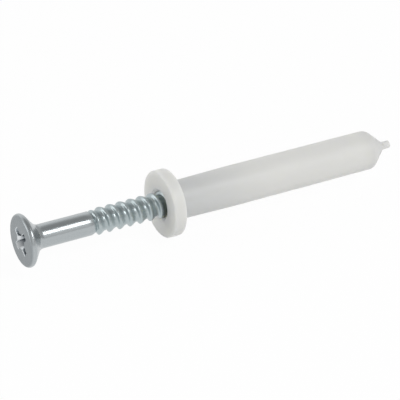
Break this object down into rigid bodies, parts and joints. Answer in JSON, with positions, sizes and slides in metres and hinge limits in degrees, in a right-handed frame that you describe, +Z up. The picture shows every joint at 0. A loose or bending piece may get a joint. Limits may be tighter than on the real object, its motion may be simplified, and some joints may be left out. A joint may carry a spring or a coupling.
{
  "type": "hammer fixing plug",
  "caption": "Collared nylon wall plug with a closed, nippled nose and a countersunk, cross-recess drive screw standing part-way out, ready to be hammered home.",
  "frame": {"origin": "on the axis, in the plane of the collar's back, which bears on the fixed work", "axes": "+X along the axis from the screw's head to the sleeve's nose, +Z up"},
  "size_m": [0.0621, 0.01, 0.01],
  "materials": {
    "natural_nylon": "moulded natural nylon, milky and slightly translucent, satin",
    "zinc_plated_steel": "bright blue-white zinc plating over rolled steel, glossy"
  },
  "bodies": {
    "sleeve": {"sleeve": "natural_nylon"},
    "drive_screw": {"drive_screw": "zinc_plated_steel"}
  },
  "joints": [
    {"name": "drive_in", "type": "slide", "parent": "sleeve", "child": "drive_screw", "axis": [1, 0, 0], "range_m": [0, 0.0199]}
  ]
}
